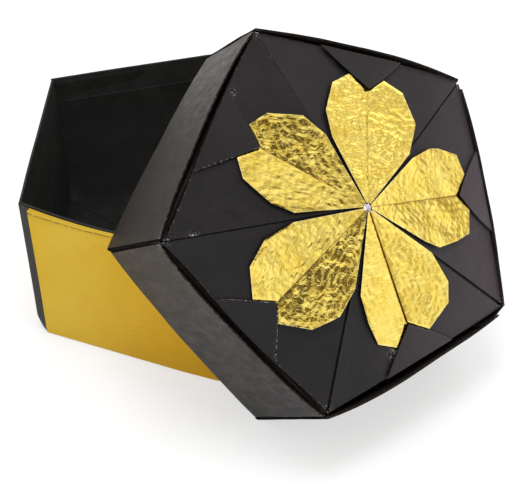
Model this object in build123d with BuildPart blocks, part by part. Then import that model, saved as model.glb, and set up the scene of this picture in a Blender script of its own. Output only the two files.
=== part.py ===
"""Five-sided box of folded paper: an open tray, and its blossom lid taken off and leaning on the tray.

Millimetres, +Z up. The origin is the centre of the tray's underside, on the surface that the box stands on.
The tray's front wall faces -Y.
"""

import os
from math import atan2, cos, degrees, hypot, radians, sin, sqrt, tan

from build123d import *

# The five sides
SIDES = 5
STEP = 360 / SIDES
HALF_STEP = STEP / 2

# Tray: black units
tray_side = 63.0
tray_height = 48.8
tray_wall = 0.75
tray_floor = 1.0
tray_tab = 0.35
tray_tab_reach = 12.0
tray_hem = 0.3
tray_hem_depth = 8.5
corner_blunt_height = 6.5
corner_blunt_width = 3.0

# Tray: gold panels
panel_sheet = 0.35
panel_strip = 3.0
panel_below_rim = 0.4
panel_above_table = 0.3
panel_hem_lip = 0.2
panel_hem_height = 1.2

# Lid: black units
lid_side = 65.0
lid_depth = 37.5
lid_rise = 11.3
lid_edge_drop = 0.8
lid_sheet = 0.5
lid_top_sheet = 0.6
lid_cuff_gap = 0.1
lid_fold_height = 1.2
lid_flare = 0.4
lid_twist = 3.0
lid_slit = 0.25
cuff_bow = 1.8
skirt_bow = 1.0
skirt_bow_on_table = 0.0

# Lid: the flap over each petal
flap_reach = 10.4
flap_half_width = 12.3
flap_sheet = 0.35
flap_fold = 1.0

# Petals, measured from the middle of the lid along the petal's crease
petal_sheet = 0.35
petal_fold_angle = 2.5
petal_start = 1.5
petal_slit = 0.7
petal_slit_end = 30.0
petal_shoulder = (18.0, 11.8)
petal_widest = (25.7, 14.2)
petal_brow = (34.2, 11.4)
petal_tip = (39.2, 4.9)
petal_tail_half_width = 3.0
petal_tail_reach = 3.8
petal_crease_width = 0.8

# Clearances between sheets
sheet_gap = 0.05
skirt_gap = 0.12
foil_gap = 0.1
petal_gap = 0.05
flap_gap = 0.09

# How the lid leans: turned about the upright, and where its edge lies on the front rim
lean_heading = 56.7
rest_from_corner = 31.6
rest_along_edge = 0.1
rest_gap = 0.25

# Worked out from the sizes above
tray_flat = tray_side / 2 / tan(radians(HALF_STEP))
lid_flat = lid_side / 2 / tan(radians(HALF_STEP))
tab_skin = panel_sheet + foil_gap
wall_skin = tab_skin + tray_tab + sheet_gap
wall_near_end = tab_skin + tray_wall + sheet_gap
wall_back = wall_skin + tray_wall
lid_pack = 2 * lid_sheet + lid_cuff_gap
cuff_back = lid_sheet
liner_skin = lid_sheet + lid_cuff_gap
skirt_behind = lid_pack + skirt_gap
top_flat = lid_flat - liner_skin
top_slope = degrees(atan2(lid_rise + lid_edge_drop, top_flat))
top_length = hypot(top_flat, lid_rise + lid_edge_drop)
top_half_width = top_flat * tan(radians(HALF_STEP))
petal_rise = petal_tip[1] * sin(radians(petal_fold_angle))
flap_lift = petal_gap + petal_rise + petal_sheet + flap_gap
flap_tip = top_length - flap_reach


def corner(flat, own, other, hand):
    """Point that lies `own` inside this wall's face and `other` inside the neighbour's.

    The wall faces -Y. `hand` is 1 for its right end and -1 for its left end.
    """
    y = own - flat
    x = (flat - other + y * cos(radians(STEP))) / sin(radians(STEP))
    return (hand * x, y)


def beyond(start, angle, distance):
    """Point at a distance from another, in a direction given in degrees."""
    return (start[0] + distance * cos(radians(angle)), start[1] + distance * sin(radians(angle)))


def blunt_plane(hand):
    """Plane that takes the point off one lower corner of the tray. It faces outwards and down."""
    tip = corner(tray_flat, 0, 0, hand)
    outward = (tip[0] / hypot(*tip), tip[1] / hypot(*tip))
    inset = corner_blunt_width * cos(radians(90 - HALF_STEP))
    facing = (outward[0] * corner_blunt_height, outward[1] * corner_blunt_height, -inset)
    return Plane(origin=(tip[0], tip[1], corner_blunt_height), z_dir=facing)


def turned(plane, about_x, about_z):
    """Plane turned about its own x and z axes, in degrees."""
    return Plane(plane.location * Rotation(about_x, 0, about_z))


def write_piece(shape, name, frame):
    """Set a finished piece in its frame, label it and write it."""
    with BuildPart() as piece:
        with Locations(frame):
            add(shape)
    piece.part.label = name
    export_step(piece.part, f"parts/{name}.step")
    return piece.part


def make_tray_unit():
    """Black unit of the tray: floor sector, wall, turned-in hem, and the tab round its right corner."""
    wall_left = corner(tray_flat, wall_skin, wall_near_end, -1)
    wall_right = corner(tray_flat, tab_skin, tab_skin, 1)
    tab_turn = STEP - degrees(atan2(wall_skin - tab_skin, tray_side))
    tab_end = beyond(wall_right, tab_turn, tray_tab_reach)
    tab_end_back = beyond(tab_end, tab_turn + 90, tray_tab)
    tab_root = corner(tray_flat, tab_skin + tray_wall, tab_skin + tray_tab, 1)
    wall_left_back = corner(tray_flat, wall_back, wall_near_end, -1)

    hem_end = wall_back + tray_hem + 2 * sheet_gap
    half_wall = tray_wall / 2
    hem_left = corner(tray_flat, wall_skin + half_wall, hem_end, -1)
    hem_right = corner(tray_flat, tab_skin + half_wall, hem_end, 1)
    hem_right_back = corner(tray_flat, tab_skin + tray_wall + tray_hem, hem_end, 1)
    hem_left_back = corner(tray_flat, wall_back + tray_hem, hem_end, -1)

    # The floor runs into the middle of the wall, and keeps off the next wall's near end
    floor_left = wall_skin + half_wall
    floor_right = tab_skin + half_wall
    floor_shy = wall_back + sheet_gap
    floor_points = (
        (0, -sheet_gap),
        corner(tray_flat, floor_left, floor_left + sheet_gap, -1),
        corner(tray_flat, floor_right, floor_shy, 1),
        corner(tray_flat, floor_shy, floor_shy + sheet_gap, 1),
    )

    with BuildPart() as tray_unit:
        with BuildSketch():
            with BuildLine():
                Polyline(
                    wall_left, wall_right, tab_end, tab_end_back, tab_root, wall_left_back, close=True
                )
            make_face()
        extrude(amount=tray_height)
        with BuildSketch(Plane.XY.offset(tray_height - tray_hem_depth)):
            with BuildLine():
                Polyline(hem_left, hem_right, hem_right_back, hem_left_back, close=True)
            make_face()
        extrude(amount=tray_hem_depth)
        with BuildSketch():
            with BuildLine():
                Polyline(*floor_points, close=True)
            make_face()
        extrude(amount=tray_floor)
        for hand in (-1, 1):
            split(bisect_by=blunt_plane(hand), keep=Keep.BOTTOM)
    return tray_unit.part


def make_tray_panel():
    """Gold sheet over the outside of a wall, with its top edge rolled into a narrow hem."""
    top = tray_height - panel_below_rim
    roll = (panel_sheet + panel_hem_lip) / 2
    face = -tray_flat
    back = face + panel_sheet
    lip = face - panel_hem_lip
    left = panel_strip - tray_side / 2
    right = corner(tray_flat, 0, foil_gap, 1)[0]

    with BuildPart() as tray_panel:
        with BuildSketch(Plane.YZ.offset(left)):
            with BuildLine():
                Polyline(
                    (back, top - roll),
                    (back, panel_above_table),
                    (face, panel_above_table),
                    (face, top - panel_hem_height),
                    (lip, top - panel_hem_height),
                    (lip, top - roll),
                )
                ThreePointArc((lip, top - roll), (lip + roll, top), (back, top - roll))
            make_face()
        extrude(amount=right - left)
        split(bisect_by=blunt_plane(1), keep=Keep.BOTTOM)
    return tray_panel.part


def bowed_line(start, end, bow):
    """Edge of a sheet from left to right, or right to left, that bellies outwards by `bow` at its middle."""
    if bow == 0:
        Line(start, end)
    else:
        middle = ((start[0] + end[0]) / 2, (start[1] + end[1]) / 2 - bow)
        ThreePointArc(start, middle, end)


def skirt_section(height, skin, back, bow):
    """Outline of one layer of the skirt at one height, from `skin` to `back` inside the wall's face.

    Its left end covers the neighbour's edge, and its right end stops behind the neighbour.
    """
    share = -height / lid_depth
    flat = lid_flat + lid_flare * share
    with BuildSketch(turned(Plane.XY.offset(height), 0, -lid_twist * share)) as section:
        with BuildLine():
            bowed_line(corner(flat, skin, 0, -1), corner(flat, skin, skirt_behind, 1), bow)
            Line(corner(flat, skin, skirt_behind, 1), corner(flat, back, skirt_behind, 1))
            bowed_line(corner(flat, back, skirt_behind, 1), corner(flat, back, 0, -1), bow)
            Line(corner(flat, back, 0, -1), corner(flat, skin, 0, -1))
        make_face()
    return section.sketch


def top_plane(lift):
    """Plane of one sloping sector of the lid's top: x runs down the slope from the middle, z faces out."""
    slope = radians(top_slope)
    plane = Plane(
        origin=(0, 0, lid_rise), x_dir=(0, -cos(slope), -sin(slope)), z_dir=(0, -sin(slope), cos(slope))
    )
    return plane.offset(lift)


def make_lid_unit(bottom_bow):
    """Black unit of the lid: sector of the top, inner wall, cuff turned up outside it, and the flap."""
    fold_top = lid_fold_height - lid_depth
    liner_top = -lid_edge_drop - lid_top_sheet / 2

    # The sector keeps off the slits beside it, and its right corner keeps off the neighbour's skirt
    half_angle = atan2(top_half_width, top_length)
    slit_start = lid_slit / sin(half_angle)
    slit_side = lid_slit / cos(half_angle)
    trim_flat = lid_flat - skirt_behind
    trim_length = trim_flat / cos(radians(top_slope))
    trim_half_width = trim_flat * tan(radians(HALF_STEP)) - slit_side
    right_corner = corner(lid_flat, liner_skin, skirt_behind, 1)[0]

    hinge_start = top_length - flap_fold
    hinge_half_width = flap_half_width * (flap_reach - flap_fold) / flap_reach
    hinge_root = lid_top_sheet / 2

    with BuildPart() as lid_unit:
        loft(
            [
                skirt_section(-lid_depth, 0, lid_pack, bottom_bow),
                skirt_section(fold_top, 0, lid_pack, bottom_bow),
            ],
            ruled=True,
        )
        loft(
            [skirt_section(fold_top, 0, cuff_back, bottom_bow), skirt_section(0, 0, cuff_back, cuff_bow)],
            ruled=True,
        )
        loft(
            [
                skirt_section(fold_top, liner_skin, lid_pack, bottom_bow),
                skirt_section(liner_top, liner_skin, lid_pack, 0),
            ],
            ruled=True,
        )
        with BuildSketch(top_plane(0)):
            with BuildLine():
                Polyline(
                    (slit_start, 0),
                    (trim_length, trim_half_width),
                    (top_length, right_corner),
                    (top_length, slit_side - top_half_width),
                    close=True,
                )
            make_face()
        extrude(amount=-lid_top_sheet)
        with BuildSketch(top_plane(-hinge_root)):
            with BuildLine():
                Polyline(
                    (hinge_start, hinge_half_width),
                    (top_length, flap_half_width),
                    (top_length, -flap_half_width),
                    (hinge_start, -hinge_half_width),
                    close=True,
                )
            make_face()
        extrude(amount=hinge_root + flap_lift + flap_sheet)
        with BuildSketch(top_plane(flap_lift)):
            with BuildLine():
                Polyline(
                    (flap_tip, 0), (top_length, flap_half_width), (top_length, -flap_half_width), close=True
                )
            make_face()
        extrude(amount=flap_sheet)
    return lid_unit.part


def make_petal():
    """Gold foil petal: two halves that rise from a crease, slit from the middle of the lid outwards."""
    tail_end = petal_tip[0] + petal_tail_reach
    with BuildPart() as petal:
        for side in (1, -1):
            with BuildSketch(turned(top_plane(petal_gap), side * petal_fold_angle, 0)):
                with BuildLine():
                    Polyline(
                        (petal_start, side * petal_slit / 2),
                        (petal_start, side * petal_start * petal_shoulder[1] / petal_shoulder[0]),
                        (petal_shoulder[0], side * petal_shoulder[1]),
                        (petal_widest[0], side * petal_widest[1]),
                        (petal_brow[0], side * petal_brow[1]),
                        (petal_tip[0], side * petal_tip[1]),
                        (tail_end, side * petal_tail_half_width),
                        (tail_end, 0),
                        (petal_slit_end, 0),
                        close=True,
                    )
                make_face()
            extrude(amount=petal_sheet)
        with BuildSketch(top_plane(petal_gap)):
            with Locations(((petal_slit_end + tail_end) / 2, 0)):
                Rectangle(tail_end - petal_slit_end, petal_crease_width)
        extrude(amount=petal_sheet)
    return petal.part


def lid_frame():
    """Plane of the lid's rim as it leans: one lower edge on the table, the next but one on the front rim."""
    foot_flat = lid_flat + lid_flare
    bow_here = skirt_bow * 4 * rest_along_edge * (1 - rest_along_edge)
    edge_flat = foot_flat - lid_pack + bow_here
    edge_turn = 3 * STEP
    edge_shift = (2 * rest_along_edge - 1) * edge_flat * tan(radians(HALF_STEP))

    # Distances in the plane of the lid's mouth, down the slope and across it, from the mouth's middle
    down = edge_flat * cos(radians(edge_turn)) + edge_shift * cos(radians(edge_turn - 90))
    across = edge_flat * sin(radians(edge_turn)) + edge_shift * sin(radians(edge_turn - 90))

    lean_sin = (tray_height + rest_gap) / (foot_flat - down)
    lean_cos = sqrt(1 - lean_sin**2)
    facing = radians(lean_heading - 90)
    downhill = Vector(lean_cos * cos(facing), lean_cos * sin(facing), -lean_sin)
    normal = Vector(lean_sin * cos(facing), lean_sin * sin(facing), lean_cos)
    level = normal.cross(downhill)

    touch = downhill * down + level * across
    rim_face = (wall_skin + tab_skin) / 2 - tray_flat
    middle = Vector(rest_from_corner - tray_side / 2 - touch.X, rim_face - touch.Y, foot_flat * lean_sin)

    # The unit that stands on the table is the third, whose lower edge is turned by the twist
    foot_angle = radians(STEP + lid_twist)
    x_dir = downhill * cos(foot_angle) + level * sin(foot_angle)
    print(f"lid leans {degrees(atan2(lean_sin, lean_cos)):.1f} degrees")
    return Plane(origin=middle + normal * lid_depth, x_dir=x_dir, z_dir=normal)


os.makedirs("parts", exist_ok=True)

tray_unit_shape = make_tray_unit()
tray_panel_shape = make_tray_panel()
for place in range(SIDES):
    wall_frame = turned(Plane.XY, 0, STEP * place)
    write_piece(tray_unit_shape, f"tray_unit_{place + 1}", wall_frame)
    write_piece(tray_panel_shape, f"tray_panel_{place + 1}", wall_frame)

lid_plane = lid_frame()
lid_unit_shape = make_lid_unit(skirt_bow)
lid_unit_on_table_shape = make_lid_unit(skirt_bow_on_table)
petal_shape = make_petal()
for place in range(SIDES):
    sector_frame = turned(lid_plane, 0, 90 + STEP - STEP * place)
    on_table = place == 2
    write_piece(
        lid_unit_on_table_shape if on_table else lid_unit_shape, f"lid_unit_{place + 1}", sector_frame
    )
    write_piece(petal_shape, f"petal_{place + 1}", sector_frame)
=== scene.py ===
# %% [markdown]
# # A five-sided box of folded paper, with a blossom lid
#
# The box is open. Its tray stands on the table, and its lid has been taken off and leans on the tray. The
# imported CAD model says where every piece is, so each piece here is built in the same frame, in metres, and
# stands for the CAD node of the same unit. The CAD model's parts are kept, hidden where a piece stands for
# them.

import math

import bpy
import numpy as np
from mathutils import Matrix, Vector, noise


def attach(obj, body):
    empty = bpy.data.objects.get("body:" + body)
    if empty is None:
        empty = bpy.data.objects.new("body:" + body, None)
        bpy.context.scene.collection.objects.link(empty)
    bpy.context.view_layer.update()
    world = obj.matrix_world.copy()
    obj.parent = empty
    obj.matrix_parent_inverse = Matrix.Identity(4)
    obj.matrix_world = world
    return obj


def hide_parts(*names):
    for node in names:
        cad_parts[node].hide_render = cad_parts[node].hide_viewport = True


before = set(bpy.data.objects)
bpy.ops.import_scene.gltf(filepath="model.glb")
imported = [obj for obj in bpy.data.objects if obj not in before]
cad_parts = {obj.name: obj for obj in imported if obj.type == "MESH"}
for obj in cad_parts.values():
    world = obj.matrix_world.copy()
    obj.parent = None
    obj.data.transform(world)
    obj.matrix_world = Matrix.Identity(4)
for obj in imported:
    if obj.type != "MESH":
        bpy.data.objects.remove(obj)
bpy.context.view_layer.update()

# %% [markdown]
# ## Sizes
#
# Folded paper is all corners, so a few lengths give the whole box. They are the sizes of the real folds: the
# sides of tray and lid, how deep each is, and how thick a pack of folded layers is. Everything else is
# worked out from them, so the pieces meet where the folds meet.

# %% Sizes, in metres
MM = 0.001
SIDES = 5
STEP = 2 * math.pi / SIDES
HALF_STEP = STEP / 2

tray_side = 63.0 * MM
tray_height = 48.8 * MM
lid_side = 65.0 * MM
lid_depth = 37.5 * MM
lid_rise = 11.3 * MM
lid_edge_drop = 0.8 * MM
lid_flare = 0.4 * MM
lid_twist = math.radians(3.0)
cuff_sheet = 0.5 * MM
cuff_pack = 1.1 * MM
skirt_bow = 1.0 * MM

tray_flat = tray_side / 2 / math.tan(HALF_STEP)
lid_flat = lid_side / 2 / math.tan(HALF_STEP)
plate_flat = lid_flat - cuff_sheet - 0.1 * MM
plate_slope = math.atan2(lid_rise + lid_edge_drop, plate_flat)
plate_length = math.hypot(lid_rise + lid_edge_drop, plate_flat)
plate_half_width = plate_flat * math.tan(HALF_STEP)
print("plate:", round(plate_length / MM, 1), "mm long, slope", round(math.degrees(plate_slope), 1), "degrees")

# %% [markdown]
# ## Where the lid leans
#
# The lid's own frame has its origin in the middle of the rim and its third axis straight out of the top. The
# three numbers of the origin and the two directions are those of the CAD model. A point of one unit is given
# with the unit's wall towards -Y, turned round the lid's axis to its place, and then set in the lid's frame.

# %% Frames of the lid's units and of the tray's walls
lid_middle = np.array((60.799, -26.383, 58.637)) * MM
lid_first = np.array((0.67473, 0.71247, -0.19270))
lid_facing = np.array((0.62228, -0.40876, 0.66759))
lid_axes = np.stack((lid_first, np.cross(lid_facing, lid_first), lid_facing))
OUTWARD = np.array((0.0, -1.0, 0.0))
print("lid: its axis leans", round(math.degrees(math.acos(lid_facing[2])), 1), "degrees")


def at(x, y, z):
    """Grid of points from their coordinates, each a number or a grid."""
    return np.stack(np.broadcast_arrays(x, y, z), -1)


def turn(points, angle):
    """Points turned about the third axis."""
    c, s = math.cos(angle), math.sin(angle)
    x, y = points[..., 0], points[..., 1]
    return at(x * c - y * s, x * s + y * c, points[..., 2])


def unit_angle(unit):
    """How far a lid unit is turned about the lid's axis. Unit 1 is the one at the back."""
    return (2 - unit) * STEP + math.pi / 2


def on_lid(points, unit):
    """Points of one lid unit, whose wall faces -Y, in the row frame."""
    return lid_middle + turn(points, unit_angle(unit)) @ lid_axes


def on_tray(points, wall):
    """Points of one tray wall, which faces -Y when it is the first, in the row frame."""
    return turn(points, (wall - 1) * STEP)


def corner(flat, own, other, hand):
    """Point `own` inside this wall's face and `other` inside its right (1) or left (-1) neighbour's."""
    y = own - flat
    x = (flat - other + y * math.cos(STEP)) / math.sin(STEP)
    return hand * x, y


# %% [markdown]
# ## Camera
#
# The camera was solved from the corners of the tray and the lid: a long lens, about half a metre away, that
# looks down at the box by forty degrees. It is hardly turned about its own line of sight.

# %% Camera
camera_place = Vector((152.1, -323.7, 313.5)) * MM
camera_aim = Vector((34.1, -18.3, 34.7)) * MM
camera_roll = math.radians(-0.96)

camera_data = bpy.data.cameras.new("photo_camera")
camera_data.sensor_width = 36.0
camera_data.lens = 100.5
camera = bpy.data.objects.new("photo_camera", camera_data)
bpy.context.scene.collection.objects.link(camera)
line_of_sight = (camera_aim - camera_place).to_track_quat("-Z", "Y").to_matrix().to_4x4()
camera.matrix_world = Matrix.Translation(camera_place) @ line_of_sight @ Matrix.Rotation(camera_roll, 4, "Z")
bpy.context.scene.camera = camera
bpy.context.scene.view_settings.view_transform = "Standard"
print("camera:", round((camera_aim - camera_place).length, 3), "m from its aim")

# %% [markdown]
# ## Shader arithmetic
#
# A material is easier to read as sums than as a heap of nodes. `Value` wraps a socket, so that an expression
# such as `1 - mask * 0.3` adds the Math nodes that it needs. `Finish` is one material, or the world, and its
# method `node` adds any other kind of node: its settings first, and then the values or links of its sockets.


# %% Shader helpers
class Value:
    """A number that a shader works out, with plain arithmetic."""

    def __init__(self, finish, socket):
        self.finish = finish
        self.socket = socket

    def maths(self, operation, first, second):
        return self.finish.node("ShaderNodeMath", {"operation": operation}, {0: first, 1: second})

    def __add__(self, other):
        return self.maths("ADD", self, other)

    def __sub__(self, other):
        return self.maths("SUBTRACT", self, other)

    def __rsub__(self, other):
        return self.maths("SUBTRACT", other, self)

    def __mul__(self, other):
        return self.maths("MULTIPLY", self, other)

    __radd__ = __add__
    __rmul__ = __mul__

    def between(self, low, high):
        """0 at low, 1 at high, and smooth between."""
        inputs = {"Value": self, "From Min": low, "From Max": high}
        return self.finish.node("ShaderNodeMapRange", {"interpolation_type": "SMOOTHSTEP"}, inputs)


class Finish:
    """The nodes of one material or of the world."""

    def __init__(self, owner):
        self.owner = owner
        owner.use_nodes = True
        self.tree = owner.node_tree
        self.tree.nodes.clear()

    def node(self, kind, settings=None, inputs=None, output=0):
        made = self.tree.nodes.new(kind)
        for name, value in (settings or {}).items():
            setattr(made, name, value)
        for name, value in (inputs or {}).items():
            if isinstance(value, Value):
                self.tree.links.new(value.socket, made.inputs[name])
            else:
                made.inputs[name].default_value = value
        return Value(self, made.outputs[output]) if made.outputs else None

    def blend(self, share, first, second):
        """Colour between two colours."""
        return self.node("ShaderNodeMix", {"data_type": "RGBA"}, {0: share, 6: first, 7: second}, 2)

    def coordinates(self):
        """Place on the object, in metres."""
        return self.node("ShaderNodeTexCoord", output="Object")

    def attribute(self, name, output="Fac"):
        """Number, or with output="Vector" the three numbers, that the mesh carries at each point."""
        return self.node("ShaderNodeAttribute", {"attribute_name": name}, output=output)

    def stretched(self, place, stretch):
        """Coordinates scaled along their own axes."""
        return self.node("ShaderNodeVectorMath", {"operation": "MULTIPLY"}, {0: place, 1: stretch})

    def noise(self, place, size, detail, roughness, distortion=0.0):
        inputs = {"Vector": place, "Scale": 1 / size, "Detail": detail, "Roughness": roughness}
        return self.node("ShaderNodeTexNoise", None, {**inputs, "Distortion": distortion})

    def cells(self, place, size, feature="F1"):
        return self.node("ShaderNodeTexVoronoi", {"feature": feature}, {"Vector": place, "Scale": 1 / size})

    def bump(self, height, depth, under=None):
        """Normal of a surface whose height, from 0 to 1, stands for `depth` metres."""
        inputs = {"Strength": 1.0, "Distance": depth, "Height": height}
        if under:
            inputs["Normal"] = under
        return self.node("ShaderNodeBump", None, inputs)

    def surface(self, inputs):
        """Close the material with one surface, and give it back."""
        shader = self.node("ShaderNodeBsdfPrincipled", None, inputs)
        self.node("ShaderNodeOutputMaterial", None, {"Surface": shader})
        return self.owner


def rgb(*parts):
    return (*parts, 1.0)


# %% [markdown]
# ## Black paper
#
# The paper is a heavy black stock with a fine pressed grain, a little like leather. It is coated so thinly
# that it shines only at a low angle: the walls of the lid look grey-brown because they mirror the pale
# table, and its top looks charcoal. A low index of refraction gives that. Where the paper is folded hard,
# the black layer cracks and white fibres show, so the meshes carry a share of wear that is 1 along folds
# and cut edges, and a coarse noise breaks it into specks. A second share paints sheen and light on the
# black in a paler colour, and gives a few pieces an even paler tone.


# %% Black paper
def black_paper(name, tone, sheen_tone, gloss, grain_depth, grain, streaks, laid=False):
    """Black paper of a tone that goes over into a paler colour where the mesh carries painted sheen and
    light, and on a few pieces an even paler tone.

    The shares of fine grain and of long streaks in its relief differ from piece to piece. On a `laid` paper
    the grain follows the sheet.
    """
    paper = Finish(bpy.data.materials.new(name))
    if laid:
        place = paper.stretched(paper.attribute("lay", "Vector"), (1.0, 0.45, 1.0))
    else:
        place = paper.coordinates()
    cloud = paper.noise(place, 11 * MM, 4, 0.6)
    mottle = paper.noise(place, 2.6 * MM, 4, 0.65)
    fine = paper.noise(place, 0.34 * MM, 4, 0.65)
    pebble = paper.cells(place, 1.1 * MM)
    streak = paper.noise(paper.stretched(place, (1.0, 1.0, 0.25)), 1.3 * MM, 3, 0.6)
    wear_and_shade = paper.attribute("wear_and_shade")
    chips = paper.noise(place, 0.55 * MM, 2, 0.7)
    worn = wear_and_shade * (chips + wear_and_shade * 0.15).between(0.66, 0.71)
    clouded = (cloud * 0.5 + mottle * 0.5).between(0.38, 0.64)
    base = paper.blend(clouded, rgb(*tone), rgb(*(1.6 * c for c in tone)))
    # Painted sheen and light, and an even paler tone on a few pieces
    base = paper.blend(paper.attribute("sheen_and_tone") * (0.6 + cloud * 0.8), base, rgb(*sheen_tone))
    base = paper.blend(fine.between(0.58, 0.76) * 0.35, base, rgb(*(0.7 * c for c in sheen_tone)))
    base = paper.blend(worn, base, rgb(0.50, 0.47, 0.44))
    relief = fine * grain + pebble * 0.3 + streak * streaks + mottle * 1.4
    return paper.surface(
        {
            "Base Color": base,
            "Roughness": 0.52 + (mottle - 0.5) * 0.5 - fine * 0.1 + worn * 0.3,
            "IOR": gloss,
            "Normal": paper.bump(relief, grain_depth),
        }
    )


def bare_paper(name, fibre_size, dark, sheen_and_tone, roughness, gloss):
    """Uncoated fibres, between two tones."""
    paper = Finish(bpy.data.materials.new(name))
    fibre = paper.noise(paper.coordinates(), fibre_size, 3, 0.6)
    return paper.surface(
        {
            "Base Color": paper.blend(fibre.between(0.3, 0.7), rgb(*dark), rgb(*sheen_and_tone)),
            "Roughness": roughness + fibre * 0.1,
            "IOR": gloss,
            "Normal": paper.bump(fibre, 0.05 * MM),
        }
    )


lid_black = black_paper(
    "lid_black_paper",
    tone=(0.0060, 0.0050, 0.0058),
    sheen_tone=(0.107, 0.085, 0.100),
    gloss=1.36,
    grain_depth=0.09 * MM,
    grain=0.4,
    streaks=0.9,
)
skirt_black = black_paper(
    "skirt_black_paper",
    tone=(0.0070, 0.0056, 0.0048),
    sheen_tone=(0.125, 0.098, 0.080),
    gloss=1.27,
    grain_depth=0.17 * MM,
    grain=1.0,
    streaks=0.0,
    laid=True,
)
tray_black = black_paper(
    "tray_black_paper",
    tone=(0.0165, 0.0170, 0.0162),
    sheen_tone=(0.100, 0.106, 0.102),
    gloss=1.27,
    grain_depth=0.07 * MM,
    grain=0.5,
    streaks=0.3,
)
cut_black = bare_paper("cut_paper_edge", 0.3 * MM, (0.004, 0.004, 0.004), (0.016, 0.015, 0.014), 0.85, 1.06)
print("black papers:", lid_black.name, skirt_black.name, tray_black.name, cut_black.name)

# %% [markdown]
# ## Gold foil
#
# The tray wears smooth foil paper, satin rather than mirror, with faint dents. The petals are cut from foil
# that was crumpled and pressed flat again. The larger creases are in the petals' own meshes, and the
# material adds facets finer than a pencil line, with a short sharp ridge between some of them. The lines
# between facets and the middle crease of a petal are painted browner, as shade and shadow, and a cut edge
# is painted paler, partly its own colour and partly a highlight. The halves that face the dark place get
# painted dark brown patches, as dark reflection.


# %% Gold foils
def smooth_foil(name):
    foil = Finish(bpy.data.materials.new(name))
    place = foil.coordinates()
    cloud = foil.noise(place, 22 * MM, 3, 0.55)
    dents = foil.noise(place, 4.5 * MM, 3, 0.5)
    brushed = foil.noise(foil.stretched(place, (0.5, 1.0, 1.0)), 1.0 * MM, 3, 0.6, 0.5)
    fine = foil.noise(place, 0.4 * MM, 3, 0.6)
    dots = foil.noise(place, 0.8 * MM, 2, 0.6).between(0.32, 0.50)
    base = foil.blend(cloud.between(0.3, 0.7), rgb(0.62, 0.417, 0.042), rgb(0.59, 0.378, 0.028))
    # Painted shade: darker, more orange gold towards the panel's right and its foot
    base = foil.blend(foil.attribute("painted_shade"), base, rgb(0.515, 0.27, 0.007))
    base = foil.blend(brushed.between(0.35, 0.7) * 0.08, base, rgb(0.80, 0.60, 0.12))
    # Painted dark dotted line under the hem: partly the foil's crease, partly the hem's shadow
    base = foil.blend(foil.attribute("wear_and_shade") * dots * 0.9, base, rgb(0.12, 0.055, 0.01))
    return foil.surface(
        {
            "Base Color": base,
            "Metallic": 1.0,
            "Roughness": 0.36 + cloud * 0.06 + fine * 0.05,
            "Normal": foil.bump(fine * 0.5 + brushed * 0.6, 0.022 * MM, foil.bump(dents, 0.12 * MM)),
        }
    )


def crumpled_foil(name):
    foil = Finish(bpy.data.materials.new(name))
    place = foil.attribute("lay", "Vector")
    painted_dark_share = foil.attribute("painted_dark_share")
    wander = foil.noise(place, 4.0 * MM, 3, 0.6)
    torn = foil.noise(place, 1.4 * MM, 2, 0.6)
    facets = foil.cells(foil.stretched(place, (0.7, 1.0, 1.0)), 2.4 * MM, "DISTANCE_TO_EDGE")
    small = foil.cells(foil.stretched(place, (0.5, 1.0, 1.0)), 0.95 * MM, "DISTANCE_TO_EDGE")
    waves = foil.noise(foil.stretched(place, (0.25, 1.0, 1.0)), 0.62 * MM, 2, 0.5, 0.5)
    painted_dark_patches = painted_dark_share * (wander * 0.6 + facets).between(0.34, 0.60)
    long_ridges = facets.between(0.07, 0.0) * torn.between(0.48, 0.58)
    short_ridges = small.between(0.14, 0.0) * torn.between(0.52, 0.42) * 0.5
    ridges = (long_ridges + short_ridges) * (0.08 + painted_dark_share * 0.36)
    base = foil.blend(wander.between(0.35, 0.65), rgb(0.93, 0.745, 0.185), rgb(0.89, 0.67, 0.125))
    # Painted shade along the lines between facets, on halves without painted dark reflection
    base = foil.blend(facets.between(0.05, 0.0) * (0.3 - painted_dark_share * 0.3), base, rgb(0.70, 0.42, 0.04))
    # Painted dark reflection: brown patches on the halves that face the dark place
    base = foil.blend(painted_dark_patches * 0.4, base, rgb(0.26, 0.14, 0.020))
    # Cut edges painted paler: partly the foil edge's own colour, partly a painted highlight
    base = foil.blend(foil.attribute("edge") * 0.85, base, rgb(0.98, 0.86, 0.42))
    # Painted shadow along the petal's middle crease
    base = foil.blend(foil.attribute("crease_shadow"), base, rgb(0.22, 0.10, 0.012))
    return foil.surface(
        {
            "Base Color": base,
            "Metallic": 1.0,
            "Roughness": 0.15 + wander * 0.08,
            "Normal": foil.bump(facets + small * 0.4 + waves * 0.3 + ridges, 0.13 * MM),
        }
    )


tray_gold = smooth_foil("tray_gold_foil")
petal_gold = crumpled_foil("petal_gold_foil")
print("gold foils:", tray_gold.name, petal_gold.name)
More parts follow.
